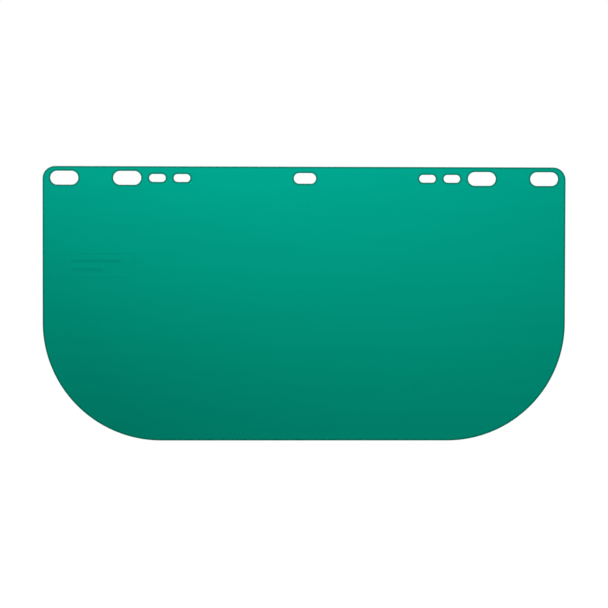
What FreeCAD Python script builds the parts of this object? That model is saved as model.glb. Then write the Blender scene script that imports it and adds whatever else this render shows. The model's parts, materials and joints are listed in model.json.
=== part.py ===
import FreeCAD, Part
import os

from FreeCAD import Vector

# Flat replacement window of a face shield: one sheet of tinted polycarbonate, die-cut,
# with a row of punched slots that button onto the studs of a headgear.
#
# Millimetres. The sheet hangs upright as it is worn: +X to the wearer's left, which is the
# right hand of someone facing the outer side, +Z up, and the outer face towards -Y.
# The origin is the middle of the centre slot, half way through the thickness.

# The sheet
SHEET_WIDTH = 393.7
SHEET_HEIGHT = 206.4
THICKNESS = 1.016
TOP_CORNER_R = 9.5
CHIN_CORNER_R = 88.9

# The row of slots, all on one line below the top edge. Each size is (length, width), and
# each distance is from the centre line to the middle of the slot, the same on both sides.
SLOT_LINE_BELOW_TOP = 8.8
CENTRE_SLOT = (16.7, 7.9)
STUD_SLOT = (21.0, 10.3)
PIN_SLOT = (12.4, 5.8)
OUTER_STUD_SLOT_X = 180.6
INNER_STUD_SLOT_X = 133.5
OUTER_PIN_SLOT_X = 110.8
INNER_PIN_SLOT_X = 92.4

# The cutting die rolls the edges over where it enters, on the outer face, and the burr that
# it leaves on the inner face is buffed off
DIE_ROLL_R = 0.3
BUFFED_R = 0.15

# The blank marking field, pressed into the outer face near one side: a border line that
# runs round a rounded rectangle, with plain bars inside it
MARK_DEPTH = 0.02
MARK_CENTRE_X = -154.0
MARK_CENTRE_Z = -65.2
MARK_WIDTH = 53.0
MARK_HEIGHT = 18.0
MARK_CORNER_R = 3.0
MARK_LINE = 0.7
BAR_HEIGHT = 3.0
BAR_LENGTHS = (38.0, 24.0)
BAR_PITCH = 6.5
MARK_MARGIN = 5.0

TOP_Z = SLOT_LINE_BELOW_TOP
BOTTOM_Z = TOP_Z - SHEET_HEIGHT
OUTER_Y = -THICKNESS / 2
INNER_Y = THICKNESS / 2


def arc_point(centre_x, centre_z, radius, degrees):
    """A point on a circle in the plane of the outer face."""
    turned = Vector(radius, 0, 0)
    turned = FreeCAD.Rotation(Vector(0, -1, 0), degrees).multVec(turned)
    return Vector(centre_x, OUTER_Y, centre_z) + turned


def corner(centre_x, centre_z, radius, from_degrees):
    """A quarter circle that turns anticlockwise from an angle, seen from the outer side."""
    start = arc_point(centre_x, centre_z, radius, from_degrees)
    middle = arc_point(centre_x, centre_z, radius, from_degrees + 45)
    end = arc_point(centre_x, centre_z, radius, from_degrees + 90)
    return Part.Arc(start, middle, end)


def plate(left, right, bottom, top, top_r, bottom_r, depth):
    """A flat plate with rounded corners, its outer side on the sheet's outer face."""
    corners = [
        corner(right - top_r, top - top_r, top_r, 0),
        corner(left + top_r, top - top_r, top_r, 90),
        corner(left + bottom_r, bottom + bottom_r, bottom_r, 180),
        corner(right - bottom_r, bottom + bottom_r, bottom_r, 270),
    ]
    edges = []
    for this, following in zip(corners, corners[1:] + corners[:1]):
        edges.append(this.toShape())
        gap = following.StartPoint - this.EndPoint
        if gap.Length > 1e-6:
            edges.append(Part.LineSegment(this.EndPoint, following.StartPoint).toShape())
    face = Part.Face(Part.Wire(edges))
    return face.extrude(Vector(0, depth, 0))


def slot(centre_x, size):
    """The punch of one slot: a bar with half-round ends that passes through the sheet."""
    length, width = size
    half_length = length / 2
    half_width = width / 2
    return plate(
        centre_x - half_length, centre_x + half_length, -half_width, half_width,
        half_width, half_width, THICKNESS,
    )


def slot_row():
    """Every slot of the row, from the centre outwards."""
    row = [slot(0, CENTRE_SLOT)]
    pairs = [
        (INNER_PIN_SLOT_X, PIN_SLOT),
        (OUTER_PIN_SLOT_X, PIN_SLOT),
        (INNER_STUD_SLOT_X, STUD_SLOT),
        (OUTER_STUD_SLOT_X, STUD_SLOT),
    ]
    for distance, size in pairs:
        row.append(slot(-distance, size))
        row.append(slot(distance, size))
    return row


def rounded_bar(centre_x, centre_z, length, height, radius):
    """A shallow rounded bar that is pressed into the outer face."""
    return plate(
        centre_x - length / 2, centre_x + length / 2,
        centre_z - height / 2, centre_z + height / 2,
        radius, radius, MARK_DEPTH,
    )


def marking_field():
    """The blank marking: a border line and plain bars, with no lettering."""
    inner_width = MARK_WIDTH - 2 * MARK_LINE
    inner_height = MARK_HEIGHT - 2 * MARK_LINE
    inner_r = MARK_CORNER_R - MARK_LINE
    border = rounded_bar(MARK_CENTRE_X, MARK_CENTRE_Z, MARK_WIDTH, MARK_HEIGHT, MARK_CORNER_R)
    inside = rounded_bar(MARK_CENTRE_X, MARK_CENTRE_Z, inner_width, inner_height, inner_r)
    presses = [border.cut(inside)]
    left = MARK_CENTRE_X - MARK_WIDTH / 2 + MARK_MARGIN
    first_z = MARK_CENTRE_Z + BAR_PITCH * (len(BAR_LENGTHS) - 1) / 2
    for row, length in enumerate(BAR_LENGTHS):
        bar_z = first_z - row * BAR_PITCH
        presses.append(rounded_bar(left + length / 2, bar_z, length, BAR_HEIGHT, BAR_HEIGHT / 2))
    return presses


def rim_edges(shape, face_y):
    """The edges of the outline and of the slots that lie on one face of the sheet."""
    return [
        edge
        for edge in shape.Edges
        if abs(edge.CenterOfMass.y - face_y) < 1e-6
    ]


def window():
    """The whole sheet: outline, slots, rounded edges and blank marking."""
    half_width = SHEET_WIDTH / 2
    sheet = plate(
        -half_width, half_width, BOTTOM_Z, TOP_Z, TOP_CORNER_R, CHIN_CORNER_R, THICKNESS
    )
    sheet = sheet.cut(slot_row())
    sheet = sheet.makeFillet(DIE_ROLL_R, rim_edges(sheet, OUTER_Y))
    sheet = sheet.makeFillet(BUFFED_R, rim_edges(sheet, INNER_Y))
    return sheet.cut(marking_field()).removeSplitter()


os.makedirs("parts", exist_ok=True)
shape = window()
shape.exportStep("parts/window.step")
print("window: valid", shape.isValid(), "solids", len(shape.Solids))
print("volume mm3", round(shape.Volume, 1), "box", shape.optimalBoundingBox(False, False))
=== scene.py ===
import json
import math

import bpy
import numpy as np
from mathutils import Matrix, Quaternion, Vector, geometry


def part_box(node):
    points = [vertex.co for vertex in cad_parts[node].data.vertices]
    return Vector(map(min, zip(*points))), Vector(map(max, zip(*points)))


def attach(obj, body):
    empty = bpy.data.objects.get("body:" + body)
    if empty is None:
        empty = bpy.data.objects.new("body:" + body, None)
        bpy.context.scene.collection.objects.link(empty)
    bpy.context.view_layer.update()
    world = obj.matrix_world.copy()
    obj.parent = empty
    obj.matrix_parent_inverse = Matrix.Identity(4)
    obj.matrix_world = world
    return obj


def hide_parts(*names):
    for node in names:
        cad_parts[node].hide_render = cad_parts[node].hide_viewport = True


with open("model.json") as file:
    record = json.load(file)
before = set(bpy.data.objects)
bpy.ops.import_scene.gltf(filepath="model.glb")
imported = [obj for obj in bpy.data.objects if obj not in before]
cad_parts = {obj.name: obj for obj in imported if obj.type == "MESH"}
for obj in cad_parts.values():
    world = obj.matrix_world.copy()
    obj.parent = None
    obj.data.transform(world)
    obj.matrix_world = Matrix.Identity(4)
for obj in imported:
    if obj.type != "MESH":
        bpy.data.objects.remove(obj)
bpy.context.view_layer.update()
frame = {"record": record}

# ---------------------------------------------------------------------------
# The sheet, in metres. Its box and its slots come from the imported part.
# ---------------------------------------------------------------------------
MM = 0.001

TOP_CORNER_R = 9.5 * MM
CHIN_CORNER_R = 88.9 * MM
DIE_ROLL_R = 0.3 * MM          # the outer face's edges, where the cutting die enters
BUFFED_R = 0.15 * MM           # the inner face's edges
BRUISED_BAND = 1.3 * MM        # beside the cut, where the die has dulled the faces
BRUISED_SHARE = 0.95           # how much of the cut edge's look that band reaches
BRUISED_STEPS = (0.17, 0.38, 0.67, 1.0)

# The blank marking, pressed into the outer face: a border line round plain bars
MARK_CENTRE = (-154.0 * MM, -65.2 * MM)
MARK_SIZE = (53.0 * MM, 18.0 * MM)
MARK_CORNER_R = 3.0 * MM
MARK_LINE = 0.7 * MM
MARK_DEPTH = 0.02 * MM
MARK_SHOULDER = 0.22 * MM      # the width of the sloping walls
BAR_LENGTHS = (38.0 * MM, 24.0 * MM)
BAR_HEIGHT = 3.0 * MM
BAR_PITCH = 6.5 * MM
MARK_MARGIN = 5.0 * MM         # from the border's side to the bars

# The extruded sheet is never dead flat: long shallow waves, a few hundredths of a millimetre
WAVE_HEIGHT = 0.010 * MM
WAVES = 7
WAVE_LENGTHS = (45.0 * MM, 150.0 * MM)
WAVE_SEED = 7

# Mesh density
OUTLINE_STEP = 1.4 * MM
SLOT_STEP = 0.6 * MM
MARK_STEP = 0.6 * MM
CORNER_STEPS = 8               # at least, on each corner
ROLL_STEPS = 5
WALL_STEPS = 3
SHOULDER_STEPS = 6
COARSE_GRID = 6.0 * MM
FINE_GRID = 2.2 * MM
FINE_BAND = 5.0 * MM
GRID_CLEARANCE = 0.8 * FINE_GRID
MERGE_WITHIN = 1e-9            # points this close become one

# ---------------------------------------------------------------------------
# The plastic
# ---------------------------------------------------------------------------
POLYCARBONATE_IOR = 1.585

# The shares of red, green and blue that get through when light crosses the sheet once: past
# its two surfaces, and through its bulk
SURFACE_TINT = (0.05, 0.66, 0.53)
BULK_PASSES = (0.004, 0.314, 0.272)
CUT_TINT = (0.03, 0.32, 0.25)
CUT_SCATTER = 0.22             # the share of light that the cut wall scatters
MARK_SHARE = 0.80              # of the surface tint, in the marking
DRAWN_SHARE = 0.975            # of the surface tint, in the bands along the sheet

# Roughness, from the smoothest to the roughest places
POLISH_ROUGHNESS = (0.012, 0.04)
MARK_ROUGHNESS = (0.09, 0.14)
CUT_ROUGHNESS = (0.22, 0.36)
HAIRLINE_ROUGHNESS = 0.10      # what a hairline adds

# Relief
SHEAR_RELIEF = 0.03 * MM       # the die's striations across the cut
GRAIN_RELIEF = 0.002 * MM      # the marking's grain
HAIRLINE_RELIEF = 0.0015 * MM
HAIRLINE_STRENGTH = 0.6

# How fine each noise pattern is
FLOW_SCALE = 14.0
SMUDGE_SCALE = 22.0
FROST_SCALE = 900.0
DULL_SCALE = 1500.0
GRAIN_SCALE = 2200.0
SHEAR_SCALE = 2600.0
HAIRLINE_SETS = ((12, 9.0), (-33, 7.0), (71, 8.0))  # direction in degrees, scale

# The values of the noise that a pattern goes between
MOST_VALUES = (0.3, 0.7)
SMUDGE_VALUES = (0.35, 0.75)
HAIRLINE_VALUES = (0.70, 0.78)

# How each pattern is stretched: a larger number makes it finer along that axis
HAIRLINE_STRETCH = (2.5, 60.0, 160.0)
FLOW_STRETCH = (0.6, 1.0, 9.0)
SHEAR_STRETCH = (1.0, 0.06, 1.0)

sheet_low, sheet_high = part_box("window")
outer_y = sheet_low.y
inner_y = sheet_high.y
thickness = inner_y - outer_y
mounts = {m["name"]: m for m in frame["record"]["mounts"]}


# ---------------------------------------------------------------------------
# Rounded rectangles in the sheet's plane
# ---------------------------------------------------------------------------
def direction(degrees):
    """A unit vector in the sheet's plane."""
    angle = math.radians(degrees)
    return np.array([math.cos(angle), math.sin(angle)])


class Rounded:
    """A rectangle with rounded corners, by its box (left, right, bottom, top) and its radii."""

    def __init__(self, left, right, bottom, top, top_r, bottom_r):
        self.box = (left, right, bottom, top)
        self.top_r = top_r
        self.bottom_r = bottom_r

    def loop(self, step):
        """Points and outward normals round the shape, anticlockwise seen from the outer side."""
        left, right, bottom, top = self.box
        corners = [
            (right - self.top_r, top - self.top_r, self.top_r, 0),
            (left + self.top_r, top - self.top_r, self.top_r, 90),
            (left + self.bottom_r, bottom + self.bottom_r, self.bottom_r, 180),
            (right - self.bottom_r, bottom + self.bottom_r, self.bottom_r, 270),
        ]
        points, normals = [], []
        for this, following in zip(corners, corners[1:] + corners[:1]):
            x, z, r, start = this
            next_x, next_z, next_r, next_start = following
            count = max(CORNER_STEPS, round(math.radians(90) * r / step))
            for k in range(count + 1):
                normal = direction(start + 90 * k / count)
                points.append(np.array([x, z]) + r * normal)
                normals.append(normal)
            end = points[-1]
            ahead = np.array([next_x, next_z]) + next_r * direction(next_start)
            gap = np.linalg.norm(ahead - end)
            if gap < step / 10:
                # the next corner starts here, so its first point stands for this one
                points.pop()
                normals.pop()
                continue
            pieces = max(1, round(gap / step))
            for k in range(1, pieces):
                points.append(end + (ahead - end) * k / pieces)
                normals.append(normals[-1])
        return np.array(points), np.array(normals)

    def distance(self, points):
        """Signed distance of points from the shape's edge: below zero inside."""
        left, right, bottom, top = self.box
        centre = np.array([left + right, bottom + top]) / 2
        half = np.array([right - left, top - bottom]) / 2
        away = points - centre
        r = np.where(away[:, 1] > 0, self.top_r, self.bottom_r)
        q = np.abs(away) - (half - r[:, None])
        outside = np.linalg.norm(np.maximum(q, 0), axis=1)
        return outside + np.minimum(q.max(axis=1), 0) - r

    def grown(self, by):
        """The same shape, moved outwards all round."""
        left, right, bottom, top = self.box
        box = (left - by, right + by, bottom - by, top + by)
        return Rounded(*box, self.top_r + by, self.bottom_r + by)


def centred(centre, size, radius):
    """A rounded rectangle by its centre and size."""
    x, z = centre
    width, height = size
    return Rounded(x - width / 2, x + width / 2, z - height / 2, z + height / 2, radius, radius)


def region(within, holes):
    """A function that gives the signed distance to a shape with holes in it."""
    def distance(points):
        edges = [within.distance(points)]
        edges += [-hole.distance(points) for hole in holes]
        return np.max(edges, axis=0)
    return distance


def slot_size(mount):
    """Length and width of a mount's slots."""
    dims = mount["dims"]
    return dims["slot_length_mm"] * MM, 2 * dims["hole_r_mm"] * MM


def slot_shapes():
    """The punched slots, one Rounded each, from the record's mounts."""
    centre = mounts["centre_slot"]
    size = slot_size(centre)
    shapes = [centred((centre["pos_m"][0], centre["pos_m"][2]), size, size[1] / 2)]
    for mount in mounts.values():
        if mount["kind"] != "bolt_pattern":
            continue
        size = slot_size(mount)
        for side in (-1, 1):
            x = mount["pos_m"][0] + side * mount["dims"]["spacing_x_mm"] * MM / 2
            shapes.append(centred((x, mount["pos_m"][2]), size, size[1] / 2))
    return shapes


# ---------------------------------------------------------------------------
# The sheet's mesh
# ---------------------------------------------------------------------------
class Waves:
    """The sheet's long shallow waves: height and slope at any place."""

    def __init__(self):
        draw = np.random.default_rng(WAVE_SEED)
        self.parts = []
        for _ in range(WAVES):
            turn = draw.uniform(0, math.tau)
            number = math.tau / draw.uniform(*WAVE_LENGTHS)
            phase = draw.uniform(0, math.tau)
            self.parts.append((number * math.cos(turn), number * math.sin(turn), phase))

    def height(self, x, z):
        return WAVE_HEIGHT * sum(np.sin(kx * x + kz * z + phase) for kx, kz, phase in self.parts)

    def slope(self, x, z):
        along_x = sum(kx * np.cos(kx * x + kz * z + phase) for kx, kz, phase in self.parts)
        along_z = sum(kz * np.cos(kx * x + kz * z + phase) for kx, kz, phase in self.parts)
        return WAVE_HEIGHT * along_x, WAVE_HEIGHT * along_z


class SheetMesh:
    """Collects the sheet's points, normals and faces, and two masks for the material."""

    def __init__(self):
        self.points, self.normals, self.cut, self.pressed = [], [], [], []
        self.faces = []

    def add_points(self, points, normals, cut, pressed):
        """Adds points and returns their numbers."""
        first = len(self.points)
        self.points.extend(points)
        self.normals.extend(normals)
        self.cut.extend([cut] * len(points))
        self.pressed.extend([pressed] * len(points))
        return list(range(first, first + len(points)))

    def band(self, upper, lower, turned):
        """Quads between two loops of the same length, facing the other way if turned."""
        count = len(upper)
        for k in range(count):
            after = (k + 1) % count
            quad = (upper[k], upper[after], lower[after], lower[k])
            self.faces.append(quad[::-1] if turned else quad)

    def profile(self, shape, step, levels, turned=False):
        """Sweeps a profile round a shape. Each level is (offset outwards from the shape's edge,
        y, share of the normal along the offset, share along y, cut mask, pressed mask).
        Returns the numbers of the first and the last loop."""
        points, normals = shape.loop(step)
        loops = []
        for offset, y, along, across, cut, pressed in levels:
            at = points + offset * normals
            where = [(p[0], y, p[1]) for p in at]
            facing = [(along * n[0], across, along * n[1]) for n in normals]
            loops.append(self.add_points(where, facing, cut, pressed))
        for upper, lower in zip(loops, loops[1:]):
            self.band(upper, lower, turned)
        return loops[0], loops[-1]

    def fill(self, loops, inside, y, facing, pressed=0.0):
        """Fills a flat region between loops with even triangles. inside(points) is the signed
        distance to the region's edge, below zero within it. facing is -1 for a region that looks
        along -y, and 1 for one that looks along y."""
        numbers = [n for loop in loops for n in loop]
        flat = [Vector((self.points[n][0], self.points[n][2])) for n in numbers]
        edges = []
        first = 0
        for loop in loops:
            count = len(loop)
            edges += [(first + k, first + (k + 1) % count) for k in range(count)]
            first += count
        grid = lattice(flat, inside)
        places = [(p[0], y, p[1]) for p in grid]
        numbers += self.add_points(places, [(0.0, facing, 0.0)] * len(grid), 0.0, pressed)
        flat += [Vector(p) for p in grid]
        found = geometry.delaunay_2d_cdt(flat, edges, [], 0, MERGE_WITHIN)
        corners, triangles, origins = found[0], found[2], found[3]
        middles = np.array([np.mean([corners[v] for v in t], axis=0) for t in triangles])
        for triangle, kept in zip(triangles, inside(middles) < 0):
            if kept:
                real = [numbers[origins[v][0]] for v in triangle]
                self.faces.append(tuple(real if facing < 0 else reversed(real)))

    def build(self, name):
        """The Blender object, with the waves put in and the normals set."""
        waves = Waves()
        points = np.array(self.points)
        normals = np.array(self.normals, float)
        slope_x, slope_z = waves.slope(points[:, 0], points[:, 2])
        points[:, 1] += waves.height(points[:, 0], points[:, 2])
        normals[:, 0] -= normals[:, 1] * slope_x
        normals[:, 2] -= normals[:, 1] * slope_z
        normals /= np.linalg.norm(normals, axis=1)[:, None]
        mesh = bpy.data.meshes.new(name)
        mesh.from_pydata(points.tolist(), [], self.faces)
        mesh.polygons.foreach_set("use_smooth", [True] * len(mesh.polygons))
        for label, values in (("cut_edge", self.cut), ("pressed", self.pressed)):
            layer = mesh.attributes.new(label, "FLOAT", "POINT")
            layer.data.foreach_set("value", np.array(values, np.float32))
        mesh.validate()
        mesh.normals_split_custom_set_from_vertices(normals.tolist())
        piece = bpy.data.objects.new(name, mesh)
        bpy.context.scene.collection.objects.link(piece)
        return piece


def lattice(boundary, inside):
    """Points inside a region, closer together near its edge."""
    low = np.min([tuple(p) for p in boundary], axis=0)
    high = np.max([tuple(p) for p in boundary], axis=0)
    chosen = []
    for spacing, nearest, farthest in (
        (FINE_GRID, GRID_CLEARANCE, FINE_BAND),
        (COARSE_GRID, FINE_BAND, math.inf),
    ):
        rows = np.arange(low[1], high[1], spacing * math.sqrt(3) / 2)
        for number, z in enumerate(rows):
            xs = np.arange(low[0] + (number % 2) * spacing / 2, high[0], spacing)
            row = np.column_stack([xs, np.full(len(xs), z)])
            depth = -inside(row)
            chosen.extend(row[(depth > nearest) & (depth <= farthest)].tolist())
    return chosen


def face_edge(sign, radius, face_y, facing):
    """One face's side of a cut: the dulled band, then the rounded edge as far as the wall.
    facing is -1 on the outer face and 1 on the inner one."""
    levels = []
    for share in reversed(BRUISED_STEPS):
        inset = radius + share * BRUISED_BAND
        levels.append((-sign * inset, face_y, 0.0, facing, BRUISED_SHARE * (1 - share**2), 0.0))
    for k in range(ROLL_STEPS + 1):
        turn = math.radians(90) * k / ROLL_STEPS
        inset = radius * (1 - math.sin(turn))
        y = face_y - facing * radius * (1 - math.cos(turn))
        cut = BRUISED_SHARE + (1 - BRUISED_SHARE) * k / ROLL_STEPS
        levels.append((-sign * inset, y, sign * math.sin(turn), facing * math.cos(turn), cut, 0.0))
    return levels


def edge_profile(sign):
    """The cut edge from the outer face to the inner one. sign is 1 on the outline, where
    outwards is out of the plastic, and -1 round a slot, where it is into the plastic."""
    wall_start = outer_y + DIE_ROLL_R
    wall_end = inner_y - BUFFED_R
    wall = []
    for k in range(1, WALL_STEPS):
        y = wall_start + (wall_end - wall_start) * k / WALL_STEPS
        wall.append((0.0, y, sign, 0.0, 1.0, 0.0))
    outer = face_edge(sign, DIE_ROLL_R, outer_y, -1.0)
    inner = face_edge(sign, BUFFED_R, inner_y, 1.0)
    return outer + wall + inner[::-1]


def pressed_wall(offset_from, offset_to, down):
    """An S-shaped wall between the outer face and the floor of a pressed line, as it goes down
    into the line or up out of it."""
    levels = []
    for k in range(SHOULDER_STEPS + 1):
        t = k / SHOULDER_STEPS
        rise = (1 - math.cos(math.pi * t)) / 2
        tilt = MARK_DEPTH * math.pi / 2 * math.sin(math.pi * t) / (offset_to - offset_from)
        depth = rise if down else 1 - rise
        lean = tilt if down else -tilt
        offset = offset_from + (offset_to - offset_from) * t
        size = math.hypot(1, lean)
        levels.append((offset, outer_y + MARK_DEPTH * depth, lean / size, -1 / size, 0.0, depth))
    return levels


def press_marking(sheet):
    """The marking: a pressed border line, and pressed bars in the plain field inside it.
    Returns the border's shape and the loop of points round it."""
    border = centred(MARK_CENTRE, MARK_SIZE, MARK_CORNER_R)
    way_in = pressed_wall(0.0, -MARK_SHOULDER, True)
    way_out = pressed_wall(MARK_SHOULDER - MARK_LINE, -MARK_LINE, False)
    outside, inside = sheet.profile(border, MARK_STEP, way_in + way_out)
    bars, bar_loops = [], []
    left = MARK_CENTRE[0] - MARK_SIZE[0] / 2 + MARK_MARGIN
    first_z = MARK_CENTRE[1] + BAR_PITCH * (len(BAR_LENGTHS) - 1) / 2
    for row, length in enumerate(BAR_LENGTHS):
        centre = (left + length / 2, first_z - row * BAR_PITCH)
        bar = centred(centre, (length, BAR_HEIGHT), BAR_HEIGHT / 2)
        top_loop, floor_loop = sheet.profile(bar, MARK_STEP, way_in)
        bars.append(bar)
        bar_loops.append(top_loop)
        floor = bar.grown(-MARK_SHOULDER)
        sheet.fill([floor_loop], floor.distance, outer_y + MARK_DEPTH, -1.0, pressed=1.0)
    sheet.fill([inside] + bar_loops, region(border.grown(-MARK_LINE), bars), outer_y, -1.0)
    return border, outside


def make_window():
    """The whole sheet as one closed mesh."""
    sheet = SheetMesh()
    outline = Rounded(
        sheet_low.x, sheet_high.x, sheet_low.z, sheet_high.z, TOP_CORNER_R, CHIN_CORNER_R
    )
    slots = slot_shapes()
    outer_loops, inner_loops = [], []
    cuts = [(outline, OUTLINE_STEP, 1)] + [(slot, SLOT_STEP, -1) for slot in slots]
    for shape, step, sign in cuts:
        first, last = sheet.profile(shape, step, edge_profile(sign), turned=sign > 0)
        outer_loops.append(first)
        inner_loops.append(last)
    border, border_loop = press_marking(sheet)
    outer_inset = DIE_ROLL_R + BRUISED_BAND
    inner_inset = BUFFED_R + BRUISED_BAND
    outer_holes = [slot.grown(outer_inset) for slot in slots] + [border]
    inner_holes = [slot.grown(inner_inset) for slot in slots]
    outer_region = region(outline.grown(-outer_inset), outer_holes)
    inner_region = region(outline.grown(-inner_inset), inner_holes)
    sheet.fill(outer_loops + [border_loop], outer_region, outer_y, -1.0)
    sheet.fill(inner_loops, inner_region, inner_y, 1.0)
    return sheet.build("tinted_window")


window = make_window()
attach(window, "root")
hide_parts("window")


# ---------------------------------------------------------------------------
# Shader nodes
# ---------------------------------------------------------------------------
class Nodes:
    """Short ways to add and join shader nodes."""

    def __init__(self, tree):
        self.tree = tree
        tree.nodes.clear()

    def add(self, kind, **settings):
        node = self.tree.nodes.new(kind)
        for name, value in settings.items():
            setattr(node, name, value)
        return node

    def join(self, source, target):
        self.tree.links.new(source, target)

    def value(self, socket, given):
        """Puts a number on a socket, or joins another socket to it."""
        if isinstance(given, bpy.types.NodeSocket):
            self.join(given, socket)
        else:
            socket.default_value = given

    def math(self, operation, first, second=0.0, third=0.0):
        node = self.add("ShaderNodeMath", operation=operation)
        for socket, given in zip(node.inputs, (first, second, third)):
            self.value(socket, given)
        return node.outputs[0]

    def ramp(self, given, start, end, low=0.0, high=1.0):
        """A smooth step from low to high as a value goes from start to end."""
        node = self.add("ShaderNodeMapRange", interpolation_type="SMOOTHSTEP")
        for socket, number in zip(node.inputs, (given, start, end, low, high)):
            self.value(socket, number)
        return node.outputs[0]

    def blend(self, share, first, second):
        """A number between two others."""
        # of a Mix node's inputs, 0 is the share, 2 and 3 are two numbers, and 6 and 7 two colours
        node = self.add("ShaderNodeMix", data_type="FLOAT")
        for number, given in ((0, share), (2, first), (3, second)):
            self.value(node.inputs[number], given)
        return node.outputs[0]

    def blend_colour(self, share, first, second):
        """A colour between two others, each a socket or three numbers."""
        node = self.add("ShaderNodeMix", data_type="RGBA")
        self.value(node.inputs[0], share)
        for socket, given in ((node.inputs[6], first), (node.inputs[7], second)):
            self.value(socket, given if isinstance(given, bpy.types.NodeSocket) else (*given, 1.0))
        return node.outputs[2]

    def noise(self, coordinates, scale, detail=2.0, roughness=0.5):
        node = self.add("ShaderNodeTexNoise")
        self.join(coordinates, node.inputs["Vector"])
        node.inputs["Scale"].default_value = scale
        node.inputs["Detail"].default_value = detail
        node.inputs["Roughness"].default_value = roughness
        return node.outputs["Fac"]

    def stretched(self, coordinates, turn, scale):
        """Coordinates turned in the sheet's plane and then stretched."""
        node = self.add("ShaderNodeMapping")
        self.join(coordinates, node.inputs["Vector"])
        node.inputs["Rotation"].default_value = (0, math.radians(turn), 0)
        node.inputs["Scale"].default_value = scale
        return node.outputs[0]

    def bump(self, height, distance, strength=1.0, normal=None):
        node = self.add("ShaderNodeBump")
        self.join(height, node.inputs["Height"])
        node.inputs["Distance"].default_value = distance
        self.value(node.inputs["Strength"], strength)
        if normal is not None:
            self.join(normal, node.inputs["Normal"])
        return node.outputs[0]


# ---------------------------------------------------------------------------
# The plastic's material. cut and pressed are the mesh's masks: the cut edge and the marking.
# ---------------------------------------------------------------------------
def scaled(colour, share):
    """A colour with every channel multiplied."""
    return tuple(channel * share for channel in colour)


def absorption(passes, depth):
    """Volume Absorption's colour and density for a material that lets these shares of red, green
    and blue through a given depth."""
    taken = [-math.log(share) / depth for share in passes]
    # a little over the largest, so that no channel of the colour reaches zero
    density = max(taken) * 1.02
    return (*[1 - t / density for t in taken], 1.0), density


def hairlines(n, place):
    """Handling marks: sets of fine lines, each set in its own direction."""
    lines = None
    for turn, scale in HAIRLINE_SETS:
        streak = n.noise(n.stretched(place, turn, HAIRLINE_STRETCH), scale, roughness=0.4)
        line = n.ramp(streak, *HAIRLINE_VALUES)
        lines = line if lines is None else n.math("MAXIMUM", lines, line)
    return lines


def plastic_roughness(n, place, cut, pressed, hairs):
    """Polish with faint smudges and hairlines, then the marking, then the cut."""
    smudges = n.noise(place, SMUDGE_SCALE, detail=4.0, roughness=0.6)
    polish = n.ramp(smudges, *SMUDGE_VALUES, *POLISH_ROUGHNESS)
    polish = n.math("MULTIPLY_ADD", hairs, HAIRLINE_ROUGHNESS, polish)
    frosted = n.ramp(n.noise(place, FROST_SCALE), *MOST_VALUES, *MARK_ROUGHNESS)
    dull = n.ramp(n.noise(place, DULL_SCALE), *MOST_VALUES, *CUT_ROUGHNESS)
    return n.blend(cut, n.blend(pressed, polish, frosted), dull)


def plastic_tint(n, place, cut, pressed):
    """Faint bands along the direction the sheet was drawn, then the marking, then the cut."""
    flow = n.noise(n.stretched(place, 0, FLOW_STRETCH), FLOW_SCALE, detail=3.0)
    bands = n.ramp(flow, *MOST_VALUES)
    drawn = n.blend_colour(bands, scaled(SURFACE_TINT, DRAWN_SHARE), SURFACE_TINT)
    marked = n.blend_colour(pressed, drawn, scaled(SURFACE_TINT, MARK_SHARE))
    return n.blend_colour(cut, marked, CUT_TINT)


def plastic_relief(n, place, cut, pressed, hairs):
    """The die's striations across the cut, the marking's grain, and the hairlines."""
    shear = n.noise(n.stretched(place, 0, SHEAR_STRETCH), SHEAR_SCALE, detail=3.0, roughness=0.6)
    grain = n.noise(place, GRAIN_SCALE, roughness=0.6)
    relief = n.bump(shear, SHEAR_RELIEF, cut)
    relief = n.bump(grain, GRAIN_RELIEF, pressed, relief)
    return n.bump(hairs, HAIRLINE_RELIEF, HAIRLINE_STRENGTH, relief)


def tinted_polycarbonate():
    """Clear green plastic: polished faces with hairline handling marks, dull die-cut edges that
    scatter some light, and a faintly frosted marking."""
    material = bpy.data.materials.new("tinted_polycarbonate")
    material.use_nodes = True
    n = Nodes(material.node_tree)
    place = n.add("ShaderNodeTexCoord").outputs["Object"]
    cut = n.add("ShaderNodeAttribute", attribute_name="cut_edge").outputs["Fac"]
    pressed = n.add("ShaderNodeAttribute", attribute_name="pressed").outputs["Fac"]
    hairs = hairlines(n, place)
    wall = n.ramp(cut, BRUISED_SHARE, 1.0)

    plastic = n.add("ShaderNodeBsdfPrincipled")
    n.join(plastic_tint(n, place, cut, pressed), plastic.inputs["Base Color"])
    n.join(plastic_roughness(n, place, cut, pressed, hairs), plastic.inputs["Roughness"])
    n.join(plastic_relief(n, place, cut, pressed, hairs), plastic.inputs["Normal"])
    n.join(n.math("MULTIPLY_ADD", wall, -CUT_SCATTER, 1.0), plastic.inputs["Transmission Weight"])
    plastic.inputs["IOR"].default_value = POLYCARBONATE_IOR
    bulk = n.add("ShaderNodeVolumeAbsorption")
    colour, density = absorption(BULK_PASSES, thickness)
    bulk.inputs["Color"].default_value = colour
    bulk.inputs["Density"].default_value = density
    out = n.add("ShaderNodeOutputMaterial")
    n.join(plastic.outputs[0], out.inputs["Surface"])
    n.join(bulk.outputs[0], out.inputs["Volume"])
    return material


window.data.materials.append(tinted_polycarbonate())


# ---------------------------------------------------------------------------
# Floor, light and camera
# ---------------------------------------------------------------------------
FLOOR_GAP = 0.30               # the sheet hangs this far above the floor
FLOOR_RADIUS = 3.0
FLOOR_SIDES = 128
FLOOR_FADE = (0.8, 0.95 * FLOOR_RADIUS)  # from where it's whole to where it's gone
FLOOR_WHITE = 0.86

ROOM_LIGHT = 1.10              # the even light that falls on what is matt
KEY_PLACE = (-0.45, -1.0, 1.25)
KEY_SIZE = 1.0
KEY_POWER = 40.0

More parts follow.
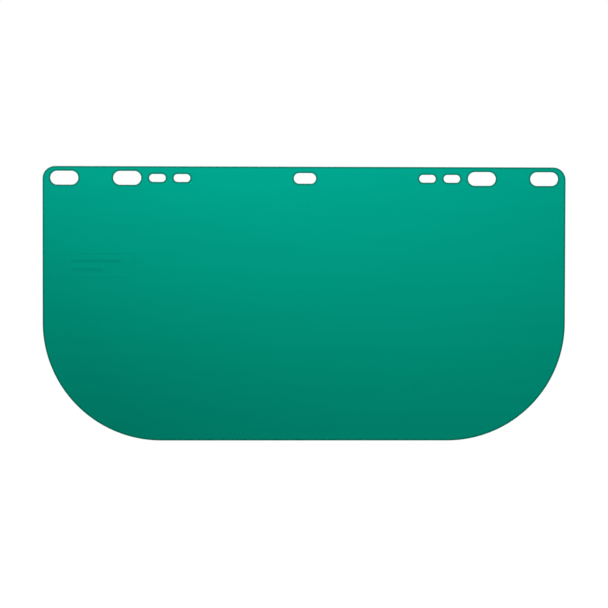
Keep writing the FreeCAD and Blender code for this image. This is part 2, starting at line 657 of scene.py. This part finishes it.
# The lit backdrop seen through the plastic. Directions are the x and z of a unit vector.
BACKDROP_FOOT_Z = -0.0873      # it is even below this direction
BACKDROP_SPAN = 0.1179         # how far it is from the foot to where the colour is all sky
BACKDROP_TOP = 1.6             # in spans above the foot, where it stops getting brighter
BACKDROP_LOW = 1.087           # brightness at the foot
BACKDROP_RISE = 0.858          # what the first span adds to it
BACKDROP_CURVE = 1.2
POOL_X = 0.04                  # the brightest column, at the height of the eye
POOL_LEAN = -0.6               # how far it shifts sideways for each unit of z
POOL_FALL = 6.0                # how fast it gets darker to the sides
POOL_DEPTH = 0.14              # the most that it gets darker
COOL_SKY = (1.0, 0.997, 1.015)
WARM_FOOT = (1.0, 1.003, 0.97)

# What shows in the plastic's gloss: a dark room with strip lights. Each strip is a band
# between two parallel planes: (share of x, share of z, distance, half width, side of the sheet)
DARK_ROOM = 0.16
STRIP_LIGHT = 1.2
STRIP_SOFTNESS = 0.006
STRIPS = (
    (0.60, 0.80, -0.730, 0.004, -1),
    (-0.60, 0.80, -0.615, 0.004, 1),
)
STRIP_SIDE = (0.3, 0.5)        # how far a direction leans to a strip's side, from dark to lit
UNLIT_AHEAD = (-0.97, -0.80)   # the y of directions, from unlit to lit

CAMERA_DISTANCE = 1.5
CAMERA_AZIMUTH = -1.506
CAMERA_ELEVATION = 1.378
CAMERA_ROLL = 0.124
SENSOR_WIDTH = 36.0            # in millimetres, as the lens is
VIEW_HEIGHT = 0.4582           # what the picture shows at the sheet's distance
AIM_OFFSET = (-0.00051, 0.0, -0.00015)  # from the sheet's middle

sheet_centre = (sheet_low + sheet_high) / 2


def make_floor():
    """A pale round floor that fades into the white round it."""
    place = (0, 0, sheet_low.z - FLOOR_GAP)
    bpy.ops.mesh.primitive_circle_add(
        vertices=FLOOR_SIDES, radius=FLOOR_RADIUS, fill_type="NGON", location=place
    )
    floor = bpy.context.object
    floor.name = "floor"
    material = bpy.data.materials.new("pale_floor")
    material.use_nodes = True
    n = Nodes(material.node_tree)
    length = n.add("ShaderNodeVectorMath", operation="LENGTH")
    n.join(n.add("ShaderNodeTexCoord").outputs["Object"], length.inputs[0])
    matt = n.add("ShaderNodeBsdfDiffuse")
    matt.inputs["Color"].default_value = (FLOOR_WHITE, FLOOR_WHITE, FLOOR_WHITE, 1)
    mix = n.add("ShaderNodeMixShader")
    n.join(n.ramp(length.outputs["Value"], *FLOOR_FADE), mix.inputs[0])
    n.join(matt.outputs[0], mix.inputs[1])
    n.join(n.add("ShaderNodeBsdfTransparent").outputs[0], mix.inputs[2])
    out = n.add("ShaderNodeOutputMaterial")
    n.join(mix.outputs[0], out.inputs["Surface"])
    floor.data.materials.append(material)
    floor.visible_glossy = False


def backdrop(n, x, z):
    """Brightness and colour of the backdrop behind the plastic, which is brighter above."""
    above = n.math("SUBTRACT", z, BACKDROP_FOOT_Z)
    spans = n.math("MAXIMUM", n.math("DIVIDE", above, BACKDROP_SPAN), 0.0)
    spans = n.math("MINIMUM", spans, BACKDROP_TOP)
    curve = n.math("POWER", spans, BACKDROP_CURVE)
    rise = n.math("MULTIPLY_ADD", curve, BACKDROP_RISE, BACKDROP_LOW)
    aside = n.math("SUBTRACT", x, n.math("MULTIPLY_ADD", z, POOL_LEAN, POOL_X))
    fall = n.math("MULTIPLY", n.math("MULTIPLY", aside, aside), POOL_FALL)
    pool = n.math("SUBTRACT", 1.0, n.math("MINIMUM", fall, POOL_DEPTH))
    return n.math("MULTIPLY", rise, pool), n.blend_colour(spans, WARM_FOOT, COOL_SKY)


def strip_lights(n, x, y, z):
    """Brightness of the room that shows in the plastic's gloss."""
    total = DARK_ROOM
    for share_x, share_z, distance, half, side in STRIPS:
        across = n.math("MULTIPLY_ADD", x, share_x, n.math("MULTIPLY", z, share_z))
        off = n.math("ABSOLUTE", n.math("SUBTRACT", across, distance))
        band = n.ramp(off, half, half + STRIP_SOFTNESS, STRIP_LIGHT, 0.0)
        near = n.ramp(n.math("MULTIPLY", y, side), *STRIP_SIDE)
        total = n.math("MULTIPLY_ADD", band, near, total)
    # straight out from the outer face the room isn't lit
    return n.math("MULTIPLY", total, n.ramp(y, *UNLIT_AHEAD))


def make_world():
    """White for the camera, the backdrop through the plastic, a dark room with strip lights in
    its gloss, and even light for everything else."""
    world = bpy.data.worlds.new("studio")
    world.use_nodes = True
    world.cycles.sampling_method = "NONE"
    bpy.context.scene.world = world
    n = Nodes(world.node_tree)
    split = n.add("ShaderNodeSeparateXYZ")
    n.join(n.add("ShaderNodeTexCoord").outputs["Generated"], split.inputs[0])
    x, y, z = split.outputs
    path = n.add("ShaderNodeLightPath").outputs
    through = path["Is Transmission Ray"]
    lit, hue = backdrop(n, x, z)
    strength = n.blend(path["Is Camera Ray"], ROOM_LIGHT, 1.0)
    strength = n.blend(path["Is Glossy Ray"], strength, strip_lights(n, x, y, z))
    strength = n.blend(through, strength, lit)
    background = n.add("ShaderNodeBackground")
    n.join(n.blend_colour(through, (1.0, 1.0, 1.0), hue), background.inputs["Color"])
    n.join(strength, background.inputs["Strength"])
    out = n.add("ShaderNodeOutputWorld")
    n.join(background.outputs[0], out.inputs["Surface"])


def make_key_light():
    """One large soft box above and in front, aimed at the sheet."""
    light = bpy.data.lights.new("key", "AREA")
    light.shape = "DISK"
    light.size = KEY_SIZE
    light.energy = KEY_POWER
    key = bpy.data.objects.new("key", light)
    bpy.context.scene.collection.objects.link(key)
    key.location = KEY_PLACE
    key.rotation_mode = "QUATERNION"
    key.rotation_quaternion = (sheet_centre - key.location).to_track_quat("-Z", "Y")
    key.visible_camera = False


def make_camera():
    """The camera in front, a little to the left of the sheet's centre line and a little above
    its middle."""
    camera = bpy.data.objects.new("camera", bpy.data.cameras.new("camera"))
    bpy.context.scene.collection.objects.link(camera)
    bpy.context.scene.camera = camera
    azimuth = math.radians(CAMERA_AZIMUTH)
    elevation = math.radians(CAMERA_ELEVATION)
    level = math.cos(elevation)
    back = Vector((math.sin(azimuth) * level, -math.cos(azimuth) * level, math.sin(elevation)))
    camera.location = sheet_centre + Vector(AIM_OFFSET) + CAMERA_DISTANCE * back
    camera.rotation_mode = "QUATERNION"
    upright = (-back).to_track_quat("-Z", "Y")
    camera.rotation_quaternion = upright @ Quaternion((0, 0, 1), math.radians(CAMERA_ROLL))
    camera.data.sensor_width = SENSOR_WIDTH
    camera.data.lens = SENSOR_WIDTH * CAMERA_DISTANCE / VIEW_HEIGHT


make_floor()
make_world()
make_key_light()
make_camera()
bpy.context.scene.view_settings.view_transform = "Standard"
